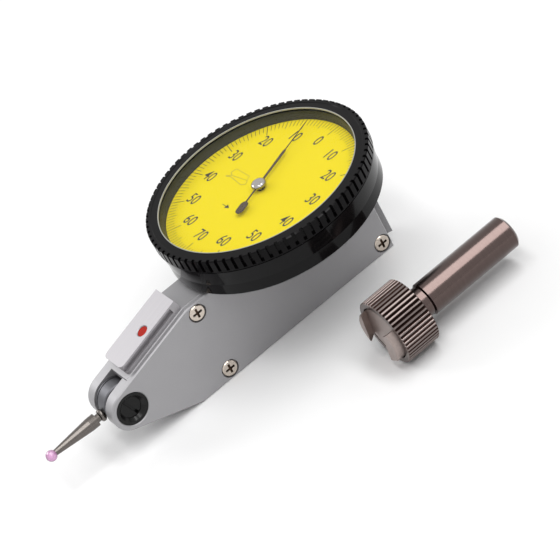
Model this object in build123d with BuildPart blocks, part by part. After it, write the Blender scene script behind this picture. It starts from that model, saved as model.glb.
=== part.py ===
"""Lever-type dial test indicator with a separate six millimetre dovetail stem.

Millimetres. The origin is on the body's flat base, straight under the dial's axis.
+Z is the dial's axis, +X points to the rear, away from the stylus, and -Y is the screwed side.
"""
import math
import os
from build123d import *

os.makedirs("parts", exist_ok=True)

# Body block, seen from its side
body_half_width = 4.3
body_top_z = 16.65
rear_x = 14.5
bend_x = -22.7
kink_x = -28.0
body_wall = 1.4
cover_thickness = 1.1
edge_bevel = 0.2
seam_bevel = 0.12
hole_bevel = 0.12
cut_reach = 70.0

# Stylus pivot and the fork around it
pivot_x = -38.74
pivot_z = 8.05
nose_radius = 3.85
slot_half_width = 2.0
slot_reach = 1.89
ear_gap = 0.12
hub_room = 0.4
front_wall = 1.1
ring_radius = 2.9
ring_wall = 1.05
ring_sink = 0.15
pivot_screw_sink = 0.65
pivot_slot_width = 0.52
pivot_slot_angle = -70
journal_radius = 0.8
journal_length = 1.3
running_gap = 0.03
side_gap = 0.1

# Stylus
ball_radius = 1.0
stylus_length = 14.65
drum_radius = 3.6
drum_near_gap = 0.85
sleeve_radius = 1.5
sleeve_gap = 0.05
cheek_radius = 2.9
cheek_thickness = 0.45
washer_thickness = 0.11
stylus_root_radius = 1.18
stylus_tip_radius = 0.55
stylus_collar_length = 1.0
stylus_collar_radius = 1.15
stylus_neck_radius = 0.7
stylus_neck_length = 0.65
stylus_barrel_length = 1.4
stud_radius = 0.6
stud_depth = 1.2
stud_gap = 0.03
tenon_radius = 0.35

# Gear train between the lever and the pointer
travel_per_turn = 0.14
sector_pitch_radius = 13.025
pinion_pitch_radius = 0.875
crown_pitch_radius = 3.6
centre_pitch_radius = 0.9
tooth_height = 0.16
tooth_space = 0.24
mesh_gap = 0.03
pinion_teeth = 12
crown_teeth = 48
arbor_radius = 0.4
centre_arbor_radius = 0.35
drive_pin_radius = 0.3
sector_y = -1.5
gear_thickness = 0.4
crown_thickness = 0.5
bridge_thickness = 0.4
bridge_margin = 1.5
bridge_end_half = 1.5
bridge_screw_radius = 0.4
bridge_screw_length = 1.4
pillar_radius = 0.8
pillar_front_x = -10.5
pillar_rear_x = 5.9
pillar_spread = 4.3
screw_shank_radius = 0.5

# Dial case, bezel and what the bezel carries
bezel_radius = 20.0
bezel_top_z = 25.45
bezel_height = 2.55
knurl_height = 2.15
knurl_count = 82
knurl_width = 0.58
knurl_depth = 0.55
case_gap = 0.08
case_lift = 0.81
case_top_radius = 19.85
case_waist_radius = 19.45
case_waist_height = 2.4
case_wall = 1.25
case_floor = 1.2
case_seat_radius = 12.0
spigot_gap = 0.1
spigot_depth = 1.6
dial_depth = 1.6
dial_thickness = 0.4
dial_radius = 18.3
dial_hole_radius = 0.7
dial_ledge = 1.1
bezel_bore_gap = 0.08
window_radius = 17.64
dial_ring_foot_radius = 17.25
crystal_thickness = 0.4
crystal_drop = 0.3
gasket_width = 0.15
gasket_drop = 0.05
seat_gap = 0.02

# Pointer
pointer_lift = 0.8
pointer_thickness = 0.1
pointer_length = 15.7
pointer_angle = 22.3
counterweight_start = 4.1
counterweight_end = 7.0
counterweight_half_width = 0.75
pointer_cap_radius = 1.35
pointer_cap_height = 0.6

# Dovetails of the body
front_block_length = 13.9
front_block_run_out = 1.4
front_block_height = 2.1
front_block_half_width = 2.95
rear_dovetail_z = 1.7
rear_dovetail_length = 12.9
dovetail_depth = 1.4
dovetail_half_width = 3.1
dovetail_half_root = 2.4
seal_radius = 0.95
seal_station = 6.9
seal_y = -1.1
rail_lip = 0.35
block_corner_radius = 0.9
block_head_low = 1.0
block_head_height = 0.6
block_tap_depth = 1.1
block_screw_depth = 1.0

# Screws that hold the side cover
cover_screw_head_radius = 1.45
cover_screw_ring_gap = 0.2
cover_screw_head_height = 0.7
cover_screw_length = 3.6
cover_screw_inset = 1.9
cover_screw_front_x = -21.2
cover_screw_rear_x = 12.8
screw_hole_gap = 0.05
lug_radius = 1.65
cross_length = 1.8
cross_width = 0.42
cross_depth = 0.45
cover_screw_bevel = 0.14

# Separate stem: shank, clamp collar and jaws
stem_y = -28.7
stem_front_x = -2.9
shank_radius = 3.0
shank_end_x = 23.9
shank_start_x = 5.6
collar_radius = 6.0
collar_length = 6.4
collar_knurl_count = 48
collar_knurl_depth = 0.28
collar_recess_radius = 5.0
collar_recess_depth = 2.4
jaw_radius = 4.75
jaw_reach = 1.4
jaw_mouth_half = 2.45
jaw_root_half = 3.15
jaw_groove_angle = 14.0
jaw_groove_shift = 0.6
jaw_lip_angle = 32.0
jaw_travel = 0.4
neck_radius = 2.7
clip_radius = 3.4
clip_thickness = 0.4
thread_radius = 1.9
key_half = 0.8
key_room = 0.05
key_length = 2.5
key_pocket_depth = 4.0
neck_overlap = 1.7
clip_groove_depth = 0.4
shank_rear_bevel = 0.4
shank_front_bevel = 0.25
collar_bevel = 0.15
jaw_bevel = 0.3

# Worked out from the sizes above
slot_rear_x = pivot_x + slot_reach
seam_y = cover_thickness - body_half_width
chamber_far_y = body_half_width - body_wall
crystal_top_z = bezel_top_z - crystal_drop
crystal_low_z = crystal_top_z - crystal_thickness
dial_z = crystal_low_z - dial_depth
pointer_z = dial_z + pointer_lift
case_bottom_z = body_top_z + case_lift
case_top_z = bezel_top_z - bezel_height - case_gap
dial_bore_radius = dial_radius + bezel_bore_gap
ball_x = pivot_x - stylus_length
gear_ratio = 2 * math.pi * stylus_length / travel_per_turn
sector_ratio = sector_pitch_radius / pinion_pitch_radius
crown_ratio = crown_pitch_radius / centre_pitch_radius
lever_ratio = gear_ratio / (sector_ratio * crown_ratio)
sector_x = -(sector_pitch_radius + pinion_pitch_radius)
short_arm = (sector_x - pivot_x) / (1 + lever_ratio)
drive_pin_x = sector_x - short_arm
crown_face_y = centre_pitch_radius + 2 * mesh_gap


def side_plane(y):
    """Sketch plane across the body at a given y: sketch x is X, sketch y is Z, extrudes towards -Y."""
    return Plane.XZ.offset(-y)


def nose_tangent(x, z, side):
    """Point where the line from (x, z) touches the nose circle, above (+1) or below (-1)."""
    reach = math.hypot(x - pivot_x, z - pivot_z)
    bearing = math.atan2(z - pivot_z, x - pivot_x)
    angle = bearing + side * math.acos(nose_radius / reach)
    return (pivot_x + nose_radius * math.cos(angle), pivot_z + nose_radius * math.sin(angle))


def body_profile(shrink=0.0):
    """Side outline of the body: base, rear, top, slope, nose arc and chin."""
    upper = nose_tangent(bend_x, body_top_z, 1)
    lower = nose_tangent(kink_x, 0, -1)
    with BuildLine() as outline:
        Polyline(lower, (kink_x, 0), (rear_x, 0), (rear_x, body_top_z), (bend_x, body_top_z), upper)
        ThreePointArc(upper, (pivot_x - nose_radius, pivot_z), lower)
    whole = make_face(outline.edges(), mode=Mode.PRIVATE)
    if shrink:
        offset(whole, amount=-shrink, kind=Kind.INTERSECTION)
    else:
        add(whole)


def behind(x):
    """Removes the part of the current sketch that lies behind x."""
    with Locations((x + cut_reach / 2, 0)):
        Rectangle(cut_reach, 2 * cut_reach, mode=Mode.SUBTRACT)


def ahead_of(x):
    """Removes the part of the current sketch that lies in front of x."""
    with Locations((x - cut_reach / 2, 0)):
        Rectangle(cut_reach, 2 * cut_reach, mode=Mode.SUBTRACT)


def disc(x, z, radius, y_far, y_near, mode=Mode.ADD):
    """Cylinder across the body between two y values, centred at (x, z)."""
    with BuildSketch(side_plane(y_far)) as section:
        with Locations((x, z)):
            Circle(radius)
    extrude(section.sketch, amount=y_far - y_near, mode=mode)


def upright(x, y, radius, z_low, z_high, mode=Mode.ADD):
    """Upright cylinder between two heights, centred at (x, y)."""
    with BuildSketch(Plane.XY.offset(z_low)) as section:
        with Locations((x, y)):
            Circle(radius)
    extrude(section.sketch, amount=z_high - z_low, mode=mode)


def closed_edges(face):
    """Rims of the round holes in a face."""
    return face.edges().filter_by(lambda edge: edge.is_closed)


def turned(points, mode=Mode.ADD):
    """Ring about the dial's axis from a closed (radius, z) outline."""
    with BuildSketch(Plane.XZ) as section:
        Polygon(*points, align=None)
    revolve(section.sketch, axis=Axis.Z, mode=mode)


def along_stem(radius, x_low, x_high, mode=Mode.ADD):
    """Round length of the stem between two x values."""
    with BuildSketch(Plane.YZ.offset(x_low)) as section:
        with Locations((stem_y, collar_radius)):
            Circle(radius)
    extrude(section.sketch, amount=x_high - x_low, mode=mode)


slope_foot = nose_tangent(bend_x, body_top_z, 1)
slope_angle = math.degrees(math.atan2(body_top_z - slope_foot[1], bend_x - slope_foot[0]))
cover_screw_places = [
    (x, z)
    for x in (cover_screw_front_x, cover_screw_rear_x)
    for z in (cover_screw_inset, body_top_z - cover_screw_inset)
]
# Plane on the slope: x runs down to the nose, z is the slope's outward normal
slope_plane = Plane(
    origin=(bend_x, 0, body_top_z),
    x_dir=(-math.cos(math.radians(slope_angle)), 0, -math.sin(math.radians(slope_angle))),
    z_dir=(-math.sin(math.radians(slope_angle)), 0, math.cos(math.radians(slope_angle))),
)
# On that plane y runs to the near side, against the part's own Y
seal_place = (seal_station, -seal_y)
bridge_face_y = seam_y + side_gap
bridge_inner_y = bridge_face_y + bridge_thickness
pillar_places = [
    (pillar_front_x, pivot_z + pillar_spread),
    (pillar_front_x, pivot_z - pillar_spread),
    (pillar_rear_x, pivot_z),
]
tab_z = pivot_z + 2.2
tab_height = 0.5
centre_pinion_z = tab_z + tab_height + 0.25
centre_pinion_height = 1.3
hairspring_z = centre_pinion_z + centre_pinion_height + 0.9
hairspring_height = 0.35
hairspring_inner = 0.8
hairspring_outer = 2.2
hairspring_turns = 5
hairspring_thickness = 0.07
bushing_radius = 1.5
bushing_low_z = body_top_z - body_wall
bushing_gap = 0.5
bushing_top_z = dial_z - dial_thickness - bushing_gap
case_screw_places = [(-8.0, 0.0), (8.0, 0.0)]
case_screw_head_radius = 1.3
case_screw_head_height = 0.7
case_floor_top = case_bottom_z + case_floor

# Housing: milled block with the far ear, the gear chamber and the rear dovetail
with BuildPart() as housing:
    with BuildSketch(side_plane(body_half_width)):
        body_profile()
    extrude(amount=body_half_width - seam_y)
    chamfer(housing.faces().sort_by(Axis.Y)[-1].edges(), edge_bevel)
    chamfer(housing.faces().sort_by(Axis.Y)[0].edges(), seam_bevel)
    with BuildSketch(side_plane(chamber_far_y)):
        body_profile(body_wall)
        ahead_of(slot_rear_x + front_wall)
    extrude(amount=chamber_far_y - seam_y, mode=Mode.SUBTRACT)
    for x, z in cover_screw_places:
        disc(x, z, lug_radius, chamber_far_y, seam_y)
    with BuildSketch(side_plane(slot_half_width)):
        with Locations((slot_rear_x - body_top_z, pivot_z)):
            Rectangle(2 * body_top_z, 2 * body_top_z)
        with Locations((pivot_x, pivot_z)):
            Circle(drum_radius + hub_room)
    extrude(amount=slot_half_width - seam_y, mode=Mode.SUBTRACT)
    disc(pivot_x, pivot_z, ring_radius + screw_hole_gap, body_half_width, 0, Mode.SUBTRACT)
    chamfer(closed_edges(housing.faces().sort_by(Axis.Y)[-1]), hole_bevel)
    with BuildSketch(Plane.XY.offset(rear_dovetail_z)):
        with BuildLine():
            Polyline(
                (rear_x - body_wall / 2, -dovetail_half_root),
                (rear_x, -dovetail_half_root),
                (rear_x + dovetail_depth, -dovetail_half_width),
                (rear_x + dovetail_depth, dovetail_half_width),
                (rear_x, dovetail_half_root),
                (rear_x - body_wall / 2, dovetail_half_root),
                close=True,
            )
        make_face()
    extrude(amount=rear_dovetail_length)
    for x, z in cover_screw_places:
        disc(x, z, screw_shank_radius + screw_hole_gap, seam_y + cover_screw_length, seam_y, Mode.SUBTRACT)
    for x in (sector_x, 0):
        disc(x, pivot_z, arbor_radius + running_gap, body_half_width - body_wall / 2, 0, Mode.SUBTRACT)
    upright(0, 0, bushing_radius + screw_hole_gap, bushing_low_z, body_top_z, Mode.SUBTRACT)
    for x, y in case_screw_places:
        upright(x, y, screw_shank_radius + screw_hole_gap, bushing_low_z, body_top_z, Mode.SUBTRACT)
    # Blind tapped hole under the front block's screw
    with BuildSketch(slope_plane):
        with Locations(seal_place):
            Circle(screw_shank_radius + screw_hole_gap)
    extrude(amount=-block_tap_depth, mode=Mode.SUBTRACT)
housing.part.label = "housing"
export_step(housing.part, "parts/housing.step")

# Side cover: the near plate, thick at its ear, with sunk holes for its screws
with BuildPart() as side_cover:
    with BuildSketch(side_plane(seam_y)):
        body_profile()
    extrude(amount=cover_thickness)
    chamfer(side_cover.faces().sort_by(Axis.Y)[0].edges(), edge_bevel)
    chamfer(side_cover.faces().sort_by(Axis.Y)[-1].edges(), seam_bevel)
    with BuildSketch(side_plane(-slot_half_width)):
        body_profile()
        behind(slot_rear_x - ear_gap)
    extrude(amount=body_half_width - edge_bevel - slot_half_width)
    disc(pivot_x, pivot_z, ring_radius + screw_hole_gap, 0, -body_half_width, Mode.SUBTRACT)
    chamfer(closed_edges(side_cover.faces().sort_by(Axis.Y)[0]), hole_bevel)
    head_seat_y = cover_screw_head_height - body_half_width
    cover_screw_seat_radius = cover_screw_head_radius + cover_screw_ring_gap
    for x, z in cover_screw_places:
        disc(x, z, screw_shank_radius + screw_hole_gap, seam_y, -body_half_width, Mode.SUBTRACT)
        disc(x, z, cover_screw_seat_radius, head_seat_y, -body_half_width, Mode.SUBTRACT)
side_cover.part.label = "side_cover"
export_step(side_cover.part, "parts/side_cover.step")

# Four cross-recessed screws of the side cover
with BuildPart() as cover_screws:
    for x, z in cover_screw_places:
        disc(x, z, cover_screw_head_radius, head_seat_y, -body_half_width)
        disc(x, z, screw_shank_radius, seam_y + cover_screw_length - side_gap, head_seat_y)
    chamfer(cover_screws.faces().filter_by(Axis.Y).group_by(Axis.Y)[0].edges(), cover_screw_bevel)
    with BuildSketch(side_plane(cross_depth - body_half_width)):
        with Locations(*cover_screw_places):
            Rectangle(cross_length, cross_width)
            Rectangle(cross_width, cross_length)
    extrude(amount=cross_depth, mode=Mode.SUBTRACT)
cover_screws.part.label = "cover_screws"
export_step(cover_screws.part, "parts/cover_screws.step")

# Front dovetail block, screwed onto the slope
with BuildPart() as front_dovetail:
    with BuildSketch(Plane(slope_plane.origin, x_dir=(0, 1, 0), z_dir=slope_plane.x_dir)):
        undercut = dovetail_half_width - dovetail_half_root
        foot_half = front_block_half_width
        with BuildLine():
            Polyline(
                (-foot_half, 0),
                (-foot_half, -(front_block_height - dovetail_depth)),
                (undercut - foot_half, -(front_block_height - dovetail_depth)),
                (-foot_half, -front_block_height + rail_lip),
                (-foot_half, -front_block_height),
                (foot_half, -front_block_height),
                (foot_half, -front_block_height + rail_lip),
                (foot_half - undercut, -(front_block_height - dovetail_depth)),
                (foot_half, -(front_block_height - dovetail_depth)),
                (foot_half, 0),
                close=True,
            )
        make_face()
    extrude(amount=front_block_length)
    with BuildSketch(slope_plane):
        with Locations((front_block_run_out / 2, 0)):
            Rectangle(front_block_run_out, 2 * foot_half)
    extrude(amount=front_block_height)
    with BuildSketch(slope_plane) as plan:
        with Locations((front_block_length / 2, 0)):
            Rectangle(front_block_length, 2 * foot_half)
        fillet(plan.vertices().group_by(Axis.X)[-1], block_corner_radius)
    extrude(amount=front_block_height, mode=Mode.INTERSECT)
    with BuildSketch(slope_plane):
        with Locations(seal_place):
            Circle(screw_shank_radius + screw_hole_gap)
    extrude(amount=front_block_height, mode=Mode.SUBTRACT)
    with BuildSketch(slope_plane.offset(block_head_low)):
        with Locations(seal_place):
            Circle(seal_radius + screw_hole_gap)
    extrude(amount=front_block_height, mode=Mode.SUBTRACT)
    slope_normal = Axis(slope_plane.origin, slope_plane.z_dir)
    chamfer(closed_edges(front_dovetail.faces().sort_by(slope_normal)[-1]), hole_bevel)
front_dovetail.part.label = "front_dovetail"
export_step(front_dovetail.part, "parts/front_dovetail.step")

# Screw of the front block, under its lacquer seal
with BuildPart() as block_screw:
    with BuildSketch(slope_plane.offset(block_head_low)):
        with Locations(seal_place):
            Circle(seal_radius)
    extrude(amount=block_head_height)
    with BuildSketch(slope_plane.offset(-block_screw_depth)):
        with Locations(seal_place):
            Circle(screw_shank_radius)
    extrude(amount=block_screw_depth + block_head_low)
block_screw.part.label = "block_screw"
export_step(block_screw.part, "parts/block_screw.step")

# Lacquer drop that seals the screw
with BuildPart() as seal_plug:
    seal_low = block_head_low + block_head_height
    with BuildSketch(slope_plane.offset(seal_low)):
        with Locations(seal_place):
            Circle(seal_radius)
    extrude(amount=front_block_height - ring_sink - seal_low)
seal_plug.part.label = "seal_plug"
export_step(seal_plug.part, "parts/seal_plug.step")

# Threaded rings in both ears, and the slotted pivot screws inside them
ring_outer_y = body_half_width - ring_sink
with BuildPart() as pivot_rings:
    disc(pivot_x, pivot_z, ring_radius, ring_outer_y, slot_half_width)
    disc(pivot_x, pivot_z, ring_radius - ring_wall, ring_outer_y, slot_half_width, Mode.SUBTRACT)
    inner_edge = pivot_rings.faces().sort_by(Axis.Y)[-1].edges().sort_by(SortBy.RADIUS)[0]
    chamfer(inner_edge, ring_wall / 2)
    mirror(about=Plane.XZ)
pivot_rings.part.label = "pivot_rings"
export_step(pivot_rings.part, "parts/pivot_rings.step")

screw_outer_y = ring_outer_y - pivot_screw_sink
with BuildPart() as pivot_screws:
    disc(pivot_x, pivot_z, ring_radius - ring_wall - running_gap, screw_outer_y, slot_half_width)
    disc(pivot_x, pivot_z, journal_radius, slot_half_width, slot_half_width - journal_length)
    with BuildSketch(side_plane(screw_outer_y)):
        with Locations((pivot_x, pivot_z)):
            Rectangle(2 * ring_radius, pivot_slot_width, rotation=pivot_slot_angle)
    extrude(amount=pivot_slot_width, mode=Mode.SUBTRACT)
    mirror(about=Plane.XZ)
pivot_screws.part.label = "pivot_screws"
export_step(pivot_screws.part, "parts/pivot_screws.step")

# Lever: sleeve on the pivot screws, two cheeks and the long arm into the gear chamber
cheek_outer = slot_half_width - side_gap
cheek_inner = cheek_outer - cheek_thickness
arm_root_x = pivot_x + drum_radius + hub_room / 1.5
arm_root_length = 1.2
arm_half_height = 0.8
arm_half_width = 0.5
arm_end_x = drive_pin_x + 0.5
with BuildPart() as lever_arm:
    disc(pivot_x, pivot_z, drum_radius, cheek_outer, cheek_inner)
    disc(pivot_x, pivot_z, cheek_radius, -cheek_inner, -cheek_outer)
    disc(pivot_x, pivot_z, sleeve_radius, cheek_outer, -cheek_outer)
    with BuildSketch(side_plane(cheek_outer)):
        with Locations(((pivot_x + arm_root_x + arm_root_length) / 2, pivot_z)):
            Rectangle(arm_root_x + arm_root_length - pivot_x, 2 * arm_half_height)
    extrude(amount=cheek_thickness)
    with BuildSketch(side_plane(-cheek_inner)):
        with Locations(((pivot_x + arm_root_x + arm_root_length) / 2, pivot_z)):
            Rectangle(arm_root_x + arm_root_length - pivot_x, 2 * arm_half_height)
    extrude(amount=cheek_thickness)
    with BuildSketch(side_plane(cheek_outer)):
        with Locations((arm_root_x + arm_root_length / 2, pivot_z)):
            Rectangle(arm_root_length, 2 * arm_half_height)
    extrude(amount=2 * cheek_outer)
    with BuildSketch(side_plane(arm_half_width)):
        with BuildLine():
            Polyline(
                (arm_root_x, pivot_z - arm_half_height),
                (arm_end_x, pivot_z - arm_half_height / 2),
                (arm_end_x, pivot_z + arm_half_height / 2),
                (arm_root_x, pivot_z + arm_half_height),
                close=True,
            )
        make_face()
    extrude(amount=2 * arm_half_width)
    disc(pivot_x, pivot_z, journal_radius + running_gap, cheek_outer, -cheek_outer, Mode.SUBTRACT)
    disc(drive_pin_x, pivot_z, drive_pin_radius + seat_gap, arm_half_width, -arm_half_width, Mode.SUBTRACT)
lever_arm.part.label = "lever_arm"
export_step(lever_arm.part, "parts/lever_arm.step")

# Pin at the arm's end that works in the sector's fork
with BuildPart() as drive_pin:
    disc(drive_pin_x, pivot_z, drive_pin_radius, arm_half_width, sector_y - gear_thickness - side_gap)
drive_pin.part.label = "drive_pin"
export_step(drive_pin.part, "parts/drive_pin.step")

# Friction washers between the stylus drum and the cheeks
washer_outer = cheek_inner - seat_gap
washer_inner = washer_outer - washer_thickness
with BuildPart() as clutch_washers:
    disc(pivot_x, pivot_z, cheek_radius - seat_gap, washer_outer, washer_inner)
    disc(pivot_x, pivot_z, sleeve_radius + seat_gap, washer_outer, 0, Mode.SUBTRACT)
    mirror(about=Plane.XZ)
clutch_washers.part.label = "clutch_washers"
export_step(clutch_washers.part, "parts/clutch_washers.step")

# Drum that carries the stylus, held by friction on the lever's sleeve
stylus_root_x = pivot_x - drum_radius
drum_face_y = washer_inner - seat_gap
drum_near_y = drum_near_gap - slot_half_width
with BuildPart() as stylus_drum:
    disc(pivot_x, pivot_z, drum_radius, washer_outer, drum_near_y)
    chamfer(stylus_drum.edges().filter_by(GeomType.CIRCLE), edge_bevel)
    disc(pivot_x, pivot_z, cheek_radius, washer_outer, drum_face_y, Mode.SUBTRACT)
    disc(pivot_x, pivot_z, cheek_radius, drum_near_y, -drum_face_y)
    disc(pivot_x, pivot_z, sleeve_radius + sleeve_gap, drum_face_y, -drum_face_y, Mode.SUBTRACT)
    with BuildSketch(Plane.YZ.offset(stylus_root_x - side_gap)):
        with Locations((0, pivot_z)):
            Circle(stud_radius + stud_gap)
    extrude(amount=stud_depth + side_gap, mode=Mode.SUBTRACT)
stylus_drum.part.label = "stylus_drum"
export_step(stylus_drum.part, "parts/stylus_drum.step")

# Stylus: stud, round collar, neck and tapered shaft with a tenon for its ball
collar_x = stylus_root_x - stylus_collar_length
barrel_x = collar_x - stylus_neck_length
taper_x = barrel_x - stylus_barrel_length
tip_x = ball_x + math.sqrt(ball_radius**2 - stylus_tip_radius**2)
with BuildPart() as stylus:
    with BuildSketch(Plane.XZ):
        with BuildLine():
            Polyline(
                (collar_x, pivot_z + stylus_neck_radius),
                (barrel_x, pivot_z + stylus_neck_radius),
                (barrel_x, pivot_z + stylus_root_radius),
                (taper_x, pivot_z + stylus_root_radius),
                (tip_x, pivot_z + stylus_tip_radius),
                (tip_x, pivot_z + tenon_radius),
                (ball_x, pivot_z + tenon_radius),
                (ball_x, pivot_z),
                (stylus_root_x + stud_depth - seat_gap, pivot_z),
                (stylus_root_x + stud_depth - seat_gap, pivot_z + stud_radius),
                (stylus_root_x, pivot_z + stud_radius),
                (stylus_root_x, pivot_z + stylus_neck_radius),
            )
            ThreePointArc(
                (stylus_root_x, pivot_z + stylus_neck_radius),
                (collar_x + stylus_collar_length / 2, pivot_z + stylus_collar_radius),
                (collar_x, pivot_z + stylus_neck_radius),
            )
        make_face()
    revolve(axis=Axis((ball_x, 0, pivot_z), (1, 0, 0)))
stylus.part.label = "stylus"
export_step(stylus.part, "parts/stylus.step")

# Ruby ball on the tenon
with BuildPart() as ruby_ball:
    with Locations((ball_x, 0, pivot_z)):
        Sphere(ball_radius)
    with BuildSketch(Plane.YZ.offset(ball_x - seat_gap)):
        with Locations((0, pivot_z)):
            Circle(tenon_radius + seat_gap)
    extrude(amount=2 * ball_radius, mode=Mode.SUBTRACT)
    with BuildSketch(Plane.YZ.offset(tip_x - seat_gap)):
        with Locations((0, pivot_z)):
            Circle(ball_radius)
    extrude(amount=ball_radius, mode=Mode.SUBTRACT)
ruby_ball.part.label = "ruby_ball"
export_step(ruby_ball.part, "parts/ruby_ball.step")

# Sector: toothed arc, spoke, hub and the fork that the drive pin works in
sector_rim = sector_pitch_radius - mesh_gap / 2
sector_tooth_angle = 360 / round(pinion_teeth * sector_ratio)
sector_low_angle = -9.0
sector_high_angle = 3.0
sector_sweep = sector_high_angle - sector_low_angle
sector_tooth_count = round(sector_sweep / sector_tooth_angle)
fork_half = drive_pin_radius + running_gap
fork_wall = 0.4
fork_reach = 1.0
with BuildPart() as sector_gear:
    with BuildSketch(side_plane(sector_y)):
        with BuildLine():
            low_edge = PolarLine((sector_x, pivot_z), sector_rim, sector_low_angle)
            high_edge = PolarLine((sector_x, pivot_z), sector_rim, sector_high_angle)
            RadiusArc(low_edge @ 1, high_edge @ 1, -sector_rim)
        make_face()
        with Locations((sector_x, pivot_z)):
            Circle(3 * arbor_radius)
            Circle(arbor_radius + seat_gap, mode=Mode.SUBTRACT)
            with PolarLocations(sector_rim, sector_tooth_count, sector_low_angle, sector_sweep):
                Rectangle(2 * tooth_height, tooth_space, mode=Mode.SUBTRACT)
        with Locations(((drive_pin_x - fork_reach + sector_x - 2 * arbor_radius) / 2, pivot_z)):
            Rectangle(short_arm + fork_reach - 2 * arbor_radius, 2 * (fork_half + fork_wall))
        with Locations((drive_pin_x + fork_half - fork_reach, pivot_z)):
            Rectangle(2 * fork_reach, 2 * fork_half, mode=Mode.SUBTRACT)
    extrude(amount=gear_thickness)
sector_gear.part.label = "sector_gear"
export_step(sector_gear.part, "parts/sector_gear.step")

# Arbors of the sector and of the crown gear, each between the far wall and the bridge
arbor_far_y = body_half_width - body_wall / 2 - side_gap
with BuildPart() as sector_arbor:
    disc(sector_x, pivot_z, arbor_radius, arbor_far_y, bridge_face_y + side_gap)
sector_arbor.part.label = "sector_arbor"
export_step(sector_arbor.part, "parts/sector_arbor.step")

# Small pinion that the sector turns, cut on its own arbor
pinion_tip = pinion_pitch_radius - mesh_gap / 2
pinion_overhang = 0.3
with BuildPart() as crown_arbor:
    disc(0, pivot_z, arbor_radius, arbor_far_y, bridge_face_y + side_gap)
    with BuildSketch(side_plane(sector_y + pinion_overhang)):
        with Locations((0, pivot_z)):
            Circle(pinion_tip)
            with PolarLocations(pinion_tip, pinion_teeth):
                Rectangle(2 * tooth_height, tooth_height, mode=Mode.SUBTRACT)
    extrude(amount=gear_thickness + 2 * pinion_overhang)
crown_arbor.part.label = "crown_arbor"
export_step(crown_arbor.part, "parts/crown_arbor.step")

# Crown gear: flat wheel with teeth on the face that looks at the dial's axis
crown_tooth_length = 0.8
crown_window_radius = 0.6
crown_window_ring = 1.85
crown_window_count = 5
with BuildPart() as crown_gear:
    crown_radius = crown_pitch_radius + crown_tooth_length / 2
    disc(0, pivot_z, crown_radius, crown_face_y + crown_thickness, crown_face_y)
    with BuildSketch(side_plane(crown_face_y + tooth_height)):
        with Locations((0, pivot_z)):
            with PolarLocations(crown_pitch_radius, crown_teeth):
                Rectangle(1.5 * crown_tooth_length, crown_pitch_radius * math.pi / crown_teeth)
    extrude(amount=tooth_height, mode=Mode.SUBTRACT)
    with BuildSketch(side_plane(crown_face_y + crown_thickness)):
        with Locations((0, pivot_z)):
            with PolarLocations(crown_window_ring, crown_window_count):
                Circle(crown_window_radius)
            Circle(arbor_radius + seat_gap)
    extrude(amount=crown_thickness, mode=Mode.SUBTRACT)
crown_gear.part.label = "crown_gear"
export_step(crown_gear.part, "parts/crown_gear.step")

# Bridge that holds the near ends of the arbors, with a tab under the centre arbor
bridge_front_x = sector_x - bridge_margin
bridge_rear_x = pillar_rear_x + bridge_margin
bridge_wide_half = pillar_spread + pillar_radius + 0.3
bridge_corners = [
    (bridge_front_x, pivot_z - bridge_end_half),
    (pillar_front_x - bridge_margin, pivot_z - bridge_wide_half),
    (pillar_front_x + bridge_margin, pivot_z - bridge_wide_half),
    (bridge_rear_x, pivot_z - bridge_end_half),
    (bridge_rear_x, pivot_z + bridge_end_half),
    (pillar_front_x + bridge_margin, pivot_z + bridge_wide_half),
    (pillar_front_x - bridge_margin, pivot_z + bridge_wide_half),
    (bridge_front_x, pivot_z + bridge_end_half),
]
tab_half_width = 1.0
tab_reach_y = 0.6
bridge_head_radius = 0.7
bridge_head_height = 0.2
with BuildPart() as movement_bridge:
    with BuildSketch(side_plane(bridge_inner_y)):
        Polygon(*bridge_corners, align=None)
    extrude(amount=bridge_thickness)
    with BuildSketch(Plane.XY.offset(tab_z)):
        with Locations((0, (bridge_inner_y + tab_reach_y) / 2 - bridge_thickness / 4)):
            Rectangle(2 * tab_half_width, tab_reach_y - bridge_inner_y + bridge_thickness / 2)
    extrude(amount=tab_height)
    upright(0, 0, centre_arbor_radius + running_gap, tab_z, tab_z + tab_height, Mode.SUBTRACT)
    for x in (sector_x, 0):
        disc(x, pivot_z, arbor_radius + running_gap, bridge_inner_y, bridge_face_y, Mode.SUBTRACT)
    for x, z in pillar_places:
        disc(x, z, bridge_screw_radius + screw_hole_gap, bridge_inner_y, bridge_face_y, Mode.SUBTRACT)
        head_y = bridge_face_y + bridge_head_height
        disc(x, z, bridge_head_radius + screw_hole_gap, head_y, bridge_face_y, Mode.SUBTRACT)
movement_bridge.part.label = "movement_bridge"
export_step(movement_bridge.part, "parts/movement_bridge.step")

# Three pillars between the far wall and the bridge
with BuildPart() as bridge_pillars:
    for x, z in pillar_places:
        disc(x, z, pillar_radius, chamber_far_y, bridge_inner_y)
        tapped_y = bridge_inner_y + bridge_screw_length + side_gap
        disc(x, z, bridge_screw_radius + screw_hole_gap, tapped_y, bridge_inner_y, Mode.SUBTRACT)
bridge_pillars.part.label = "bridge_pillars"
export_step(bridge_pillars.part, "parts/bridge_pillars.step")

# Slotted screws that hold the bridge to its pillars
with BuildPart() as bridge_screws:
    for x, z in pillar_places:
        disc(x, z, bridge_head_radius, head_y, bridge_face_y)
        disc(x, z, bridge_screw_radius, bridge_inner_y + bridge_screw_length, head_y)
    with BuildSketch(side_plane(bridge_face_y + bridge_head_height / 2)):
        with Locations(*pillar_places):
            Rectangle(2 * bridge_head_radius, bridge_head_radius / 4)
    extrude(amount=bridge_head_height / 2, mode=Mode.SUBTRACT)
bridge_screws.part.label = "bridge_screws"
export_step(bridge_screws.part, "parts/bridge_screws.step")

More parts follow.
